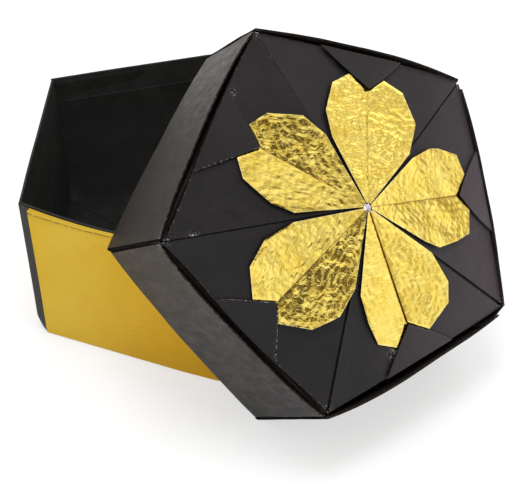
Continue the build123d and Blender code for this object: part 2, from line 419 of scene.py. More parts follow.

# %% [markdown]
# ## Sheets
#
# Every piece is a sheet: two skins a paper's thickness apart, closed all round by its cut edges. `sheet`
# takes the two skins as grids of points of the same shape and joins them into one closed mesh, so nothing is
# a bare surface. Its points can carry a share of worn paper, which on the tray's gold is a painted dotted
# line, partly crease and partly shadow; a share of painted sheen and light, which also gives a few pieces an
# even paler tone; and `lay`, the place on the unfolded sheet, which keeps a grain running along the folded
# paper.


# %% Sheet meshes
def sheet(name, skins, material, carried=None, edges=None, turned=False):
    """Closed mesh between two grids of points, the front one first, with the numbers that its points carry.

    The columns run from left to right as seen from the front, or from right to left on a turned sheet. The
    cut edges can have a material of their own.
    """
    carried = carried or {}
    if turned:
        skins = [skin[:, ::-1] for skin in skins]
        carried = {key: values[:, ::-1] for key, values in carried.items()}
    rows, columns = skins[0].shape[:2]
    count = rows * columns
    points = np.concatenate([skin.reshape(-1, 3) for skin in skins])
    index = np.arange(count).reshape(rows, columns)
    a, b, c, d = index[:-1, :-1], index[:-1, 1:], index[1:, 1:], index[1:, :-1]
    faces = [np.stack((a, b, c, d), -1).reshape(-1, 4), np.stack((d, c, b, a), -1).reshape(-1, 4) + count]
    around = np.concatenate((index[0, :-1], index[:-1, -1], index[-1, :0:-1], index[:0:-1, 0]))
    after = np.roll(around, -1)
    faces.append(np.stack((after, around, around + count, after + count), -1))
    mesh = bpy.data.meshes.new(name)
    mesh.from_pydata(points.tolist(), [], np.concatenate(faces).tolist())
    mesh.materials.append(material)
    if edges:
        mesh.materials.append(edges)
        slots = np.zeros(len(mesh.polygons), dtype=np.int32)
        slots[-len(around) :] = 1
        mesh.polygons.foreach_set("material_index", slots)
    for key, values in carried.items():
        both = np.tile(values.reshape(count, -1), (2, 1))
        kind, field = ("FLOAT_VECTOR", "vector") if both.shape[1] == 3 else ("FLOAT", "value")
        mesh.attributes.new(key, kind, "POINT").data.foreach_set(field, both.ravel())
    mesh.shade_smooth()
    mesh.set_sharp_from_angle(angle=math.radians(35))
    piece = bpy.data.objects.new(name, mesh)
    bpy.context.scene.collection.objects.link(piece)
    return piece


def place_piece(piece, node):
    """Set a piece on the box: it moves with the one body and stands for a CAD node, which it hides."""
    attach(piece, "root")
    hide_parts(node)
    print(piece.name, len(piece.data.polygons), "faces")


def spread(count, edge):
    """Shares from 0 to 1 that crowd towards both ends, where a sheet's worn edge needs points."""
    inner = np.linspace(edge, 1 - edge, count)
    return np.concatenate(([0.0, edge * 0.3, edge * 0.6], inner, [1 - edge * 0.6, 1 - edge * 0.3, 1.0]))


def ripple(points, size, seed):
    """Smooth random numbers from -1 to 1 at points, with waves of about that size."""
    offset = Vector((seed * 3.17, seed * 1.71, seed * 5.3))
    flat = points.reshape(-1, 3) / size
    return np.array([noise.noise(Vector(p) + offset) for p in flat.tolist()]).reshape(points.shape[:-1])


# %% [markdown]
# ## The lid's walls
#
# Each wall of the lid is a double layer. The paper comes down from the top as an inner wall, turns up round
# a soft fold at the bottom, and stands outside as a cuff whose upper edge is free. That edge bows away from
# the top, which leaves the dark gap that runs all round the lid. The lid is also twisted a little, as a
# pinwheel of folded units is. Each row of the sheet is one height, and each column one place along the
# wall. One cuff ends early, and the end of the next unit's paper stands in the gap behind it.

# %% Lid walls
fold_steps = 9
wall_rows = 26
cut_blunt = 0.12 * MM
liner_top = -1.7 * MM
liner_inset = 0.8 * MM
end_wear_width = 0.3 * MM
corner_wear_width = 1.8 * MM
pale_fall = 9 * MM


def lid_piece(name, unit, skins, material=lid_black, carried=None, edges=None, turned=False):
    """Sheet of one lid unit, whose skins are given with its wall towards -Y."""
    skins = [on_lid(skin, unit) for skin in skins]
    piece = sheet(f"{name}_{unit}", skins, material, carried, edges, turned)
    place_piece(piece, f"lid_unit_{unit}")


def wall_profile():
    """Rows of the folded wall from the cuff's rim, round the bottom fold, to the top of the inner wall.

    Each row gives inset and height of the front skin, the same of the back skin, and the share of cuff (1)
    or inner wall (0).
    """
    outer_radius = cuff_pack / 2
    inner_radius = outer_radius - cuff_sheet
    fold_height = outer_radius - lid_depth
    rows = [(0.0, z, cuff_sheet, z, 1.0) for z in np.linspace(0, fold_height, wall_rows)]
    rows[0] = (cut_blunt, 0.0, cuff_sheet - cut_blunt, 0.0, 1.0)
    rows.insert(1, (0.0, -cut_blunt, cuff_sheet, -cut_blunt, 1.0))
    for angle in np.linspace(0, math.pi, fold_steps)[1:-1]:
        c, s = math.cos(angle), math.sin(angle)
        out, inn = outer_radius * (1 - c), outer_radius - inner_radius * c
        rows.append((out, fold_height - outer_radius * s, inn, fold_height - inner_radius * s, 0.5 + 0.5 * c))
    for z in np.linspace(fold_height, liner_top, wall_rows // 2):
        rows.append((cuff_pack, z, cuff_pack - cuff_sheet, z, 0.0))
    return rows


def bowed(values, shares):
    """Smooth curve through values, in millimetres, that stand at `bow_shares` of an edge's length."""
    return np.polyval(np.polyfit(bow_shares, values, 4), shares) * MM


def wall_row(inset, z, bow, lean, left_inset, right_inset, shares):
    """Points of one row, from the wall's left end to its right end. The bow is flat in the middle."""
    share = -z / lid_depth
    flat = lid_flat + lid_flare * share
    left, right = corner(flat, inset, left_inset, -1), corner(flat, inset, right_inset, 1)
    x = left[0] + (right[0] - left[0]) * shares
    y = left[1] - bow * (1 - np.abs(2 * shares - 1) ** 2.6) - lean
    return turn(at(x, y, z), -lid_twist * share)


def lid_wall(unit, bottom_bow, ends):
    """One wall. Each end is its inset behind the neighbour's face at the rim and at the bottom."""
    shares = spread(36, 0.012)
    free_edge = bowed(cuff_bows[unit], shares)
    # Painted light on the cuffs of units 4 and 5, paler towards one end where they are lit; the other cuffs
    # get an even paler tone
    cuff_sheens = {4: 0.14 * (1 - shares), 5: 0.12 + 0.25 * np.exp(-shares / 0.18)}
    sheen_tone = cuff_sheens.get(unit, np.full_like(shares, 0.1))
    from_end = np.minimum(shares, 1 - shares) * lid_side
    end_wear = np.exp(-from_end / end_wear_width) * 0.2
    fronts, backs, wears, sheen_and_tone_rows, lays = [], [], [], [], []
    run = unit * lid_side
    for inset, z, back_inset, back_z, cuff in wall_profile():
        down = min(1.0, -z / lid_depth)
        lean = free_edge * cuff * (1 - down)
        reach = [rim * (1 - down) + bottom * down for rim, bottom in ends]
        # The inner wall runs on behind a cuff that ends early
        reach = [end * cuff + min(end, liner_inset) * (1 - cuff) for end in reach]
        run += lid_depth / wall_rows
        lays.append(at(shares * lid_side, run, unit * MM))
        fronts.append(wall_row(inset, z, bottom_bow * down, lean, *reach, shares))
        backs.append(wall_row(back_inset, back_z, bottom_bow * down, lean, *reach, shares))
        near_rim = np.exp(-abs(z) / end_wear_width) * cuff * (0.6 if unit > 3 else 0.35)
        near_corner = np.exp(-np.hypot(from_end, z) / corner_wear_width) * cuff
        wears.append(np.maximum(end_wear, np.maximum(near_rim, near_corner)))
        # The cuff carries its painted light and tone, and the inner wall is drawn paler towards its top
        sheen_and_tone_rows.append(sheen_tone * cuff + 0.9 * (1 - cuff) * math.exp(z / pale_fall))
    front, back = np.array(fronts), np.array(backs)
    wave = (ripple(front, 17 * MM, unit) * 0.22 + ripple(front, 6 * MM, unit + 9) * 0.06) * MM
    wave = wave[..., None] * OUTWARD
    carried = {"wear_and_shade": np.array(wears), "sheen_and_tone": np.array(sheen_and_tone_rows), "lay": np.array(lays)}
    lid_piece("lid_wall", unit, (front + wave, back + wave), skirt_black, carried, cut_black, turned=True)


def lid_wall_end(unit):
    """The end of the next unit's paper, which closes the gap behind a cuff that ends early."""
    # It covers the last sixth of the wall, and bows out as the free edge beside it does
    shares = np.linspace(0.84, 1.0, 12)
    lean = np.interp(shares, (0.84, 0.93, 1.0), (2.2, 2.0, 0.7)) * MM
    skins = []
    for inset in (0.6 * MM, 0.9 * MM):
        rows = []
        for z in np.linspace(0, -12 * MM, 8):
            rows.append(wall_row(inset, z, 0.0, lean * (1 + z / lid_depth), 0.0, 0.1 * MM, shares))
        skins.append(np.array(rows))
    lid_piece("lid_wall_end", unit, skins, skirt_black, None, cut_black, turned=True)


# How far each cuff's free edge and each edge of the top bow outwards, in millimetres, from the left end on
bow_shares = (0.0, 0.1, 0.25, 0.4, 0.5, 0.75, 0.9, 1.0)
cuff_bows = {
    1: (0.4, 1.3, 2.1, 2.3, 2.3, 1.6, 0.8, 0.2),
    2: (0.3, 0.9, 1.5, 1.75, 1.8, 1.5, 0.8, 0.0),
    3: (0.3, 1.5, 2.5, 2.8, 2.9, 2.7, 2.3, 1.9),
    4: (0.4, 1.5, 2.1, 2.4, 2.45, 2.2, 1.6, 0.8),
    5: (0.5, 1.7, 2.3, 2.5, 2.35, 1.8, 1.35, 0.5),
}
top_bows = {
    1: (0.9, 1.3, 1.4, 1.2, 1.1, 0.8, 0.4, 0.2),
    2: (1.1, 1.3, 1.6, 1.75, 1.75, 1.45, 0.95, 0.5),
    3: (0.0, 0.2, 0.5, 0.7, 0.8, 1.0, 1.1, 0.9),
    4: (0.3, 0.0, 0.3, 0.8, 0.9, 0.2, -0.3, -0.5),
    5: (0.5, 0.6, 1.0, 0.9, 0.7, 0.0, -0.4, -0.5),
}
# For the left and the right end of each wall, the inset at the rim and at the bottom, in millimetres
wall_ends = {
    1: ((0.9, 0.4), (0.0, 0.0)),
    2: ((-0.1, 0.0), (2.4, 2.0)),
    3: ((0.0, 0.0), (2.9, 2.6)),
    4: ((0.2, 1.7), (1.2, 1.2)),
    5: ((1.2, 1.2), (0.75, 0.05)),
}
for unit, ends in wall_ends.items():
    # The third wall stands on the table, so its lower edge is straight
    lid_wall(unit, 0.0 if unit == 3 else skirt_bow, np.array(ends) * MM)
lid_wall_end(3)

# %% [markdown]
# ## The lid's top
#
# The top is a low pyramid of five sectors, one of each unit, with a narrow slit between neighbours. At its
# outer edge a sector turns down into the inner wall, so that edge is a soft fold and not a cut. The sheet is
# a little wavy, as paper is that has been folded and opened again, and its edges bow like the cuffs'.

# %% Lid top
plate_sheet = 0.5 * MM
plate_fold = 0.6 * MM
plate_tuck = -1.6 * MM
plate_start = 1.2 * MM
fade_length = 3.0 * MM
slit_wear_width = 0.16 * MM
fold_wear_width = 0.25 * MM
tuck_sheet = 0.3 * MM
tuck_depth = 0.75 * MM
tuck_half_width = 4 * MM
# Half of the slit between each unit and the next, in millimetres
half_slits = {1: 0.30, 2: 0.58, 3: 0.52, 4: 0.28, 5: 0.04}
slope_cos, slope_sin = math.cos(plate_slope), math.sin(plate_slope)
corner_reach = math.hypot(plate_flat / math.cos(HALF_STEP), lid_rise + lid_edge_drop)
slope_corner_cos = plate_flat / math.cos(HALF_STEP) / corner_reach
slope_corner_sin = (lid_rise + lid_edge_drop) / corner_reach
# Scuffed places: the sector, how far down and across, how large, and how strong
scuffs = (
    (5, 46.0, -3.0, 2.5, 0.9),
    (5, 43.0, 1.0, 1.6, 0.7),
    (5, 44.0, -13.0, 1.6, 0.6),
    (5, 39.0, 27.6, 1.6, 1.0),
    (3, 40.5, -6.8, 1.8, 0.9),
    (4, 42.5, 31.0, 1.2, 0.8),
)


def on_plate(across, down, lift):
    """Points over a sector: `down` the slope from the middle, `across` it, and `lift` above it."""
    return at(across, -down * slope_cos - lift * slope_sin, lid_rise - down * slope_sin + lift * slope_cos)


def top_sheen(across, down, unit):
    """Share of painted sheen on the top: it grows to the right as the camera sees it, and the front has none.
    """
    place = turn(at(across, -down, 0.0), unit_angle(unit)) / plate_length
    ways = [(math.cos(math.radians(degrees)), math.sin(math.radians(degrees))) for degrees in (-20, -130)]
    right, front = (np.clip(place[..., 0] * x + place[..., 1] * y, 0, 1) for x, y in ways)
    return np.clip(0.03 + 0.35 * right**1.2 - 0.12 * front, 0, 1)


def lid_top(unit):
    shares = spread(40, 0.012)
    centre_y = plate_fold - plate_flat
    centre_z = lid_rise + (slope_sin * centre_y - plate_fold) / slope_cos
    flat_end = -centre_y * slope_cos + (lid_rise - centre_z) * slope_sin
    quarter = math.pi / 2 - plate_slope
    bend = np.linspace(0, quarter, 6)[1:]
    tuck = centre_z - plate_tuck

    down = np.linspace(plate_start, flat_end - MM, 44)
    down = np.concatenate((down, [flat_end - 0.6 * MM, flat_end - 0.3 * MM, flat_end]))[:, None]
    half = down * plate_half_width / plate_length
    near, far = half_slits[unit] * MM - half, half - half_slits[(unit - 2) % SIDES + 1] * MM
    across = near + (far - near) * shares
    down = np.repeat(down, len(shares), 1)
    flat = at(across, down, 0.0)
    wavy = ripple(flat, 14 * MM, unit + 20) * 0.24 + ripple(flat, 5 * MM, unit + 30) * 0.09
    lift = wavy * MM * np.clip((flat_end - down) / fade_length, 0, 1)

    def folded(lift, radius):
        """A skin with its turned-down edge."""

        def bent(angle, below=0.0):
            y = centre_y - radius * math.sin(plate_slope + angle)
            return at(across[-1:], y, centre_z + radius * math.cos(plate_slope + angle) - below)

        return np.concatenate([on_plate(across, down, lift), *(bent(a) for a in bend), bent(quarter, tuck)])

    front, back = folded(lift, plate_fold), folded(lift - plate_sheet, plate_fold - plate_sheet)
    fold_rows = front.shape[0] - down.shape[0]
    grown = np.concatenate((np.clip(down[:, 0] / flat_end * 8 - 7, 0, 1), np.ones(fold_rows)))
    swell = grown[:, None] * bowed(top_bows[unit], shares)
    swell = swell[..., None] * at(across[-1] / flat_end, -slope_cos, -slope_sin)

    from_fold = np.concatenate((flat_end - down[:, 0], np.zeros(fold_rows)))[:, None]
    from_side = np.concatenate((far, np.repeat(far[-1:], fold_rows, 0))) * 2 * np.minimum(shares, 1 - shares)
    wear_and_shade = np.maximum(np.exp(-from_side / slit_wear_width) * 0.2, np.exp(-from_fold / fold_wear_width) * 0.25)
    wear_and_shade = np.maximum(wear_and_shade, np.exp(-np.hypot(from_side, from_fold) / (1.0 * MM)))
    for scuffed, at_down, at_across, size, amount in scuffs:
        if scuffed == unit:
            away = np.hypot(down - at_down * MM, across - at_across * MM) / (size * MM)
            wear_and_shade[: down.shape[0]] = np.maximum(wear_and_shade[: down.shape[0]], np.exp(-(away**2)) * amount)
    # Painted sheen, brighter towards the right
    sheen_tone = top_sheen(across, down, unit)
    carried = {"wear_and_shade": wear_and_shade, "sheen_and_tone": np.concatenate((sheen_tone, np.repeat(sheen_tone[-1:], fold_rows, 0)))}
    lid_piece("lid_top", unit, (front + swell, back + swell), carried=carried)


def lid_tuck(unit):
    """The strip by which a unit runs on under its neighbour: it closes the slit between them."""
    end = corner_reach - 0.7 * MM
    down, shares = np.meshgrid(np.linspace(0.6 * MM, end, 36), np.linspace(-1, 1, 7), indexing="ij")
    across = shares * np.minimum(np.minimum(tuck_half_width, 0.4 * down), (corner_reach - down) * 1.1)
    lift = np.abs(across) * -math.sin(plate_slope) * 0.8 - tuck_depth
    y, z = -down * slope_corner_cos, lid_rise - down * slope_corner_sin
    front = turn(at(across, y, z + lift), HALF_STEP)
    lid_piece("lid_tuck", unit, (front, front - np.array((0.0, 0.0, tuck_sheet))))


for unit in range(1, SIDES + 1):
    lid_top(unit)
    lid_tuck(unit)

# %% [markdown]
# ## The petals
#
# A petal is a piece of foil paper whose long sides run out from the middle of the lid, round its shoulders,
# to two tips. It is creased along the middle, and both halves rise from the crease. No two petals of the box
# are alike, so each has its own outline, with `down` and `across` in millimetres from the middle of the
# lid. In the blossom every half petal is a fan of points round the middle: straight edges stay straight, and
# the fan is finest where the foil is finest. Crumpling lifts each point by soft swells, by straight creases
# of four sizes that cross, and by fine waves that run one way.

# %% Petal outlines
# Corners from the left side's shoulder round to the right side's, each (down, across); the middle of the
# list, between the two tips, runs on under the flap
petal_outlines = {
    1: [(18.2, 10.5), (25.8, 12.2), (35.0, 9.8), (39.4, 4.1), (42.6, 1.6)]
    + [(42.6, -3.6), (40.0, -6.1), (37.0, -12.4), (27.9, -16.0), (18.2, -13.4)],
    2: [(19.5, 11.7), (26.7, 13.8), (30.2, 13.6), (37.5, 11.4), (40.3, 4.6), (43.0, 2.6)]
    + [(42.6, -2.6), (39.0, -4.7), (36.5, -11.0), (30.9, -12.5), (23.3, -13.5), (18.4, -11.3)],
    3: [(20.2, 14.0), (30.1, 16.2), (35.6, 14.2), (39.8, 5.9), (43.0, 3.2)]
    + [(43.0, -2.8), (40.0, -4.7), (35.7, -10.7), (28.9, -11.6), (20.5, -11.1)],
    4: [(17.6, 12.6), (25.6, 14.9), (33.2, 12.2), (38.6, 4.6), (42.4, 2.6)]
    + [(42.4, -2.4), (39.2, -4.3), (33.7, -11.4), (26.1, -13.7), (17.4, -11.6)],
    5: [(17.3, 10.2), (23.9, 10.6), (25.6, 10.1), (33.2, 7.6), (37.4, 2.2), (41.0, 0.6)]
    + [(41.0, -5.0), (37.3, -6.9), (34.4, -11.5), (25.5, -15.1), (17.8, -13.1)],
}
# Each petal's crease: its far end, the slit's width near the middle of the lid and at the far end, and how
# dark the shadow painted along it is
petal_creases = {
    1: ((35.7, -1.6), (0.0, 0.0), 0.15),
    2: ((36.0, 0.1), (0.0, 0.12), 0.75),
    3: ((35.2, 0.2), (0.0, 0.26), 0.85),
    4: ((34.9, 0.6), (0.10, 0.20), 0.60),
    5: ((32.4, -2.3), (0.0, 0.0), 0.40),
}
# Each petal's left (1) and right (-1) half: the height at the crease, and at the side near the middle of the
# lid and at the far end; the waves' direction and height, the creases' slope, the swells' height, and the
# share of painted dark reflection
petal_halves = {
    (1, 1): (0.35, 1.1, 1.1, 90, 0.055, 0.030, 0.22, 0.0),
    (1, -1): (0.35, 0.9, 1.0, 60, 0.030, 0.050, 0.24, 0.1),
    (2, 1): (0.25, 1.1, 1.3, 45, 0.045, 0.035, 0.22, 0.0),
    (2, -1): (0.25, 1.0, 1.4, 50, 0.040, 0.040, 0.24, 0.0),
    (3, 1): (0.6, 1.2, 1.5, 115, 0.035, 0.035, 0.22, 0.0),
    (3, -1): (0.2, 0.9, 0.9, 65, 0.045, 0.030, 0.24, 0.0),
    (4, 1): (0.15, 2.2, 2.1, 120, 0.020, 0.070, 0.20, 1.0),
    (4, -1): (0.45, 1.1, 1.0, 24, 0.035, 0.030, 0.22, 0.0),
    (5, 1): (0.3, 0.9, 1.2, 12, 0.035, 0.035, 0.22, 0.0),
    (5, -1): (0.3, 0.8, 2.2, 20, 0.020, 0.070, 0.19, 0.8),
}
# Each flap over a petal's end: its point, its two corners at the sector's edge, the height of point and
# corners, and the wear of its left and its right side
flaps = {
    1: ((35.7, -1.6), 12.8, -12.6, 1.25, 0.6, 0.15, 0.5),
    2: ((36.0, 0.1), 11.9, -11.2, 1.1, 0.5, 0.2, 0.15),
    3: ((35.2, 0.2), 12.4, -11.4, 1.2, 0.5, 0.7, 0.2),
    4: ((34.9, 0.6), 12.0, -12.0, 1.05, 0.35, 0.9, 0.9),
    5: ((32.4, -2.3), 11.6, -13.2, 1.05, 0.35, 0.7, 0.4),
}

# %% Petals
petal_sheet = 0.22 * MM
petal_start = 1.1 * MM
petal_width = 13 * MM
petal_least_lift = 0.12 * MM
under_flap_lift = 0.30 * MM
crease_width = 0.11 * MM
cut_edge_width = 0.12 * MM
fan_rows = 170
fan_step = math.radians(0.45)


def edge_reach(outline, angles):
    """How far an outline lies from the middle in each direction."""
    corners = np.array(outline) * MM
    turns = np.arctan2(corners[:, 1], corners[:, 0])
    reach = np.empty_like(angles)
    for i, angle in enumerate(angles):
        k = int(np.clip(np.searchsorted(-turns, -angle) - 1, 0, len(turns) - 2))
        (x1, y1), (x2, y2) = corners[k], corners[k + 1]
        reach[i] = (x1 * y2 - x2 * y1) / (math.cos(angle) * (y2 - y1) - math.sin(angle) * (x2 - x1))
    return reach


def fan_angles(outline, start, end):
    """Directions from start to end that include every corner of the outline."""
    turns = [math.atan2(y, x) for x, y in outline]
    stops = sorted({start, end, *(t for t in turns if min(start, end) < t < max(start, end))})
    angles = []
    for a, b in zip(stops, stops[1:]):
        angles.extend(np.linspace(a, b, max(2, int((b - a) / fan_step)) + 1)[:-1])
    angles.append(stops[-1])
    return np.array(angles)


def inside_flap(unit, down, across):
    """How far inside the outline of its flap a place of the petal lies; outside it is negative."""
    (point_down, point_across), left, right = flaps[unit][:3]
    share = (down - point_down * MM) / (plate_length - point_down * MM)
    to_left = (point_across + (left - point_across) * share) * MM - across
    to_right = across - (point_across + (right - point_across) * share) * MM
    return np.minimum(to_left, to_right)


def along_and_cross(x, y, direction):
    """Coordinates along a direction and across it."""
    c, s = math.cos(direction), math.sin(direction)
    return x * c + y * s, y * c - x * s


def crumple(x, y, direction, wave_height, slope, swell, seed):
    """Height of crumpled foil in millimetres: swells, straight creases that cross, and fine waves one way."""
    flat = at(x, y, 0.0)
    sway, drift = ripple(flat, 4.5, seed), ripple(flat, 7.0, seed + 40)
    height = swell * ripple(flat, 6.0, seed + 20)
    for k, size in enumerate((2.2, 3.1, 2.6, 1.6)):
        angle = direction + 0.6 + k * 0.77 + 0.2 * math.sin(seed + k)
        way = x * math.cos(angle) + y * math.sin(angle)
        phase = way / size + 0.6 * sway + 0.6 * drift + 0.31 * k + seed
        height = height + slope * (1 + 0.9 * drift) * size * np.abs(phase % 1 - 0.5)
    along, cross = along_and_cross(x, y, direction)
    return height + wave_height * ripple(at(along / 4.0, cross / 0.75 + sway, 0.0), 1.0, seed + 60)


def half_petal(unit, side):
    """Both skins of the left (1) or right (-1) half of a petal, and what its points carry."""
    outline = petal_outlines[unit]
    (end_down, end_across), slits, crease_shadow_tone = petal_creases[unit]
    at_crease, at_side, at_end, waves, wave_height, slope, swell, painted_dark_amount = petal_halves[unit, side]
    way, seed = math.radians(waves), unit * 2 + side
    crease = math.atan2(end_across, end_down)
    side_down, side_across = outline[0] if side > 0 else outline[-1]
    edge = math.atan2(side_across, side_down)
    angles = fan_angles(outline, crease, edge)[::-side]
    reach = edge_reach(outline, angles)
    shares = np.concatenate((np.linspace(0, 1, fan_rows)[:-2], [0.985, 0.994, 1.0]))[:, None]
    radius = petal_start + (reach - petal_start) * shares
    turns = np.abs(angles - crease)
    slit = (slits[0] + (slits[1] - slits[0]) * shares**3) * 0.5 * MM
    down = radius * np.cos(angles)
    across = radius * np.sin(angles) + side * slit * np.exp(-turns / 0.05)

    from_crease = radius * np.sin(turns)
    from_side = radius * np.sin(np.abs(edge - angles))
    edge_distance = np.minimum((1 - shares) * reach, from_side)
    out_share = np.clip(radius / (36 * MM), 0, 1)
    side_height = at_side + (at_end - at_side) * out_share**1.5
    rise = at_crease + (side_height - at_crease) * np.minimum(from_crease / petal_width, 1.1)
    # The crumple fades towards the cut edges, the crease and the middle of the lid
    calm = 0.35 + 0.65 * np.clip(edge_distance / (1.2 * MM), 0, 1)
    calm = calm * np.clip(0.3 + turns / 0.05, 0, 1) * np.clip(radius / (6 * MM), 0.3, 1)
    height = (rise + crumple(down / MM, across / MM, way, wave_height, slope, swell, seed) * calm) * MM
    pressed = np.clip(1 + inside_flap(unit, down, across) / (0.8 * MM), 0, 1)
    height = height * (1 - pressed) + np.minimum(height, under_flap_lift) * pressed
    height = np.maximum(height, petal_least_lift)
    # The halves that face the dark place get painted dark reflection, growing outwards
    carried = {
        "painted_dark_share": painted_dark_amount * (0.3 + 0.7 * out_share**2),
        "edge": np.exp(-edge_distance / cut_edge_width),
        "crease_shadow": np.exp(-from_crease / crease_width) * crease_shadow_tone,
        "lay": at(*along_and_cross(down, across, way), seed * 10 * MM),
    }
    return (on_plate(across, down, height + petal_sheet), on_plate(across, down, height)), carried


def petal(unit):
    """Both halves, joined into one piece."""
    halves = []
    for name, side in ((f"petal_foil_{unit}", 1), (f"petal_half_{unit}", -1)):
        skins, carried = half_petal(unit, side)
        halves.append(sheet(name, [on_lid(skin, unit) for skin in skins], petal_gold, carried))
    bpy.ops.object.select_all(action="DESELECT")
    for half in halves:
        half.select_set(True)
    bpy.context.view_layer.objects.active = halves[0]
    bpy.ops.object.join()
    place_piece(halves[0], f"petal_{unit}")


for unit in range(1, SIDES + 1):
    petal(unit)

# %% [markdown]
# ## The middle of the blossom
#
# Where the five units meet, each shows a tiny corner of the white back of its paper. They are folded up a
# little and overlap, and they close the hole in the middle.

# %% Paper tips
tip_white = bare_paper("white_paper_back", 0.35 * MM, (0.42, 0.38, 0.45), (0.72, 0.69, 0.76), 0.7, 1.5)
tip_sheet = 0.12 * MM
tip_back = -0.35 * MM
# How far each tip reaches out from the middle, in millimetres
tip_lengths = {1: 0.9, 2: 0.8, 3: 1.5, 4: 0.8, 5: 1.2}
for unit, length in tip_lengths.items():
    down, shares = np.meshgrid(np.linspace(tip_back, length * MM, 8), np.linspace(-1, 1, 9), indexing="ij")
    across = shares * np.interp(down, (tip_back, 0.2 * MM, length * MM), (0.40 * MM, 0.55 * MM, 0.12 * MM))
    lift = (0.55 + 0.35 * (1 - np.abs(shares)) + 0.10 * unit) * MM - 0.25 * down
    lid_piece("lid_tip", unit, [on_plate(across, down, lift - depth) for depth in (0, tip_sheet)], tip_white)

# %% [markdown]
# ## The flaps
#
# A black three-cornered flap is folded over the outer end of each petal. Its point makes the notch between
# the petal's two tips. The flap springs open a little, and its folded sides are worn, so they show as
# dotted white lines.

# %% Flaps
flap_sheet = 0.3 * MM
flap_blunt = 0.12 * MM
flap_short = 0.25 * MM
flap_wear_width = 0.16 * MM


def flap(unit):
    point, left, right, point_height, base_height, left_wear, right_wear = flaps[unit]
    point_down, point_across, left, right = (v * MM for v in (*point, left, right))
    base_down = plate_length - flap_short
    shares = spread(22, 0.02)
    steps = np.concatenate(([0.0, 0.01, 0.02], np.linspace(0.04, 1, 26)))[:, None]
    left_edge = (point_across + flap_blunt) + (left - point_across - flap_blunt) * steps
    right_edge = (point_across - flap_blunt) + (right - point_across + flap_blunt) * steps
    across = left_edge + (right_edge - left_edge) * shares
    down = point_down + (base_down - point_down) * np.repeat(steps, len(shares), 1)
    down = down + bowed(top_bows[unit], 0.5 + 0.5 * across / plate_half_width) * steps**3
    height = (point_height + (base_height - point_height) * steps) * MM
    height = height + ripple(at(across, down, 0.0), 6 * MM, unit + 50) * 0.08 * MM
    wear_and_shade = np.zeros_like(across)
    for edge, amount in ((left_edge, left_wear), (right_edge, right_wear)):
        wear_and_shade = wear_and_shade + np.exp(-np.abs(edge - across) * 0.6 / flap_wear_width) * amount
    # Painted sheen, as on the top
    sheen_and_tone = np.clip(top_sheen(across, down, unit) * 1.5 - 0.015, 0, 1)
    skins = on_plate(across, down, height + flap_sheet), on_plate(across, down, height)
    lid_piece("lid_flap", unit, skins, carried={"wear_and_shade": np.minimum(wear_and_shade, 1), "sheen_and_tone": sheen_and_tone})


for unit in range(1, SIDES + 1):
    flap(unit)

# %% [markdown]
# ## The tray's walls
#
# A wall of the tray is one long fold: up the outside, over the rim, and down inside as a narrow hem. A
# second layer lines it below the hem. The walls lie like a pinwheel too, each a little further in at its
# left end, where the tab of its left neighbour covers it. The tray's lower corners are blunt from handling.

# %% Tray walls
tray_sheet = 0.35 * MM
tray_pack = 0.8 * MM
tray_hem_depth = 8.5 * MM
wall_inset_left = 0.85 * MM
wall_inset_right = 0.45 * MM
blunt_height = 6.5 * MM
blunt_width = 3.0 * MM
blunt_soft = 0.35 * MM
rim_lift = 0.95 * MM
rim_bow = 1.5 * MM
rim_splay = 1.0 * MM
foot_bow = 1.2 * MM
tab_radius = 0.6 * MM
tab_step = 0.4 * MM
tab_length = 12 * MM
# How far the left and the right end of a wall and of its lining lie inside the neighbours' faces
wall_ends_in = (1.25 * MM, 0.82 * MM)
lining_ends_in = (1.3 * MM, 1.3 * MM)
# Heights of the rows from the foot to the end of the blunt corners, in millimetres
foot_rows = (0.0, 0.6, 1.5, 2.5, 3.5, 4.5, 5.5, 6.5, 8.0)
steady_height = 11 * MM


def row_heights(top, count, foot=0.0):
    """Heights of the rows of a layer: close together at the blunt corners, and even from there to the top."""
    return np.concatenate((foot + np.array(foot_rows) * MM, np.linspace(steady_height, top, count)))


def blunted(points, inset):
    """Points of a layer `inset` inside the tray's faces, moved in from the blunt lower corners."""
    tip = tray_flat / math.cos(HALF_STEP)
    reach = blunt_width * math.sin(HALF_STEP)
    for k in range(SIDES):
        angle = -math.pi / 2 + HALF_STEP + k * STEP
        outward = np.array((math.cos(angle), math.sin(angle), 0.0))
        facing = outward * blunt_height - np.array((0.0, 0.0, reach))
        facing /= np.linalg.norm(facing)
        start = outward * tip + np.array((0.0, 0.0, blunt_height))
        beyond = (points - start) @ facing + inset
        eased = np.maximum(beyond + blunt_soft, 0) ** 2 / (4 * blunt_soft)
        points = points - np.where(beyond > blunt_soft, beyond, eased)[..., None] * outward
    return points


def wall_grid(extra, z, shares, left_other, right_other):
    """Points along a wall, a row for each height, `extra` inside the wall's own slanting face."""
    left = corner(tray_flat, wall_inset_left + extra, left_other, -1)
    right = corner(tray_flat, wall_inset_right + extra, right_other, 1)
    x, y = (a + (b - a) * shares for a, b in zip(left, right))
    return at(x, y, z)


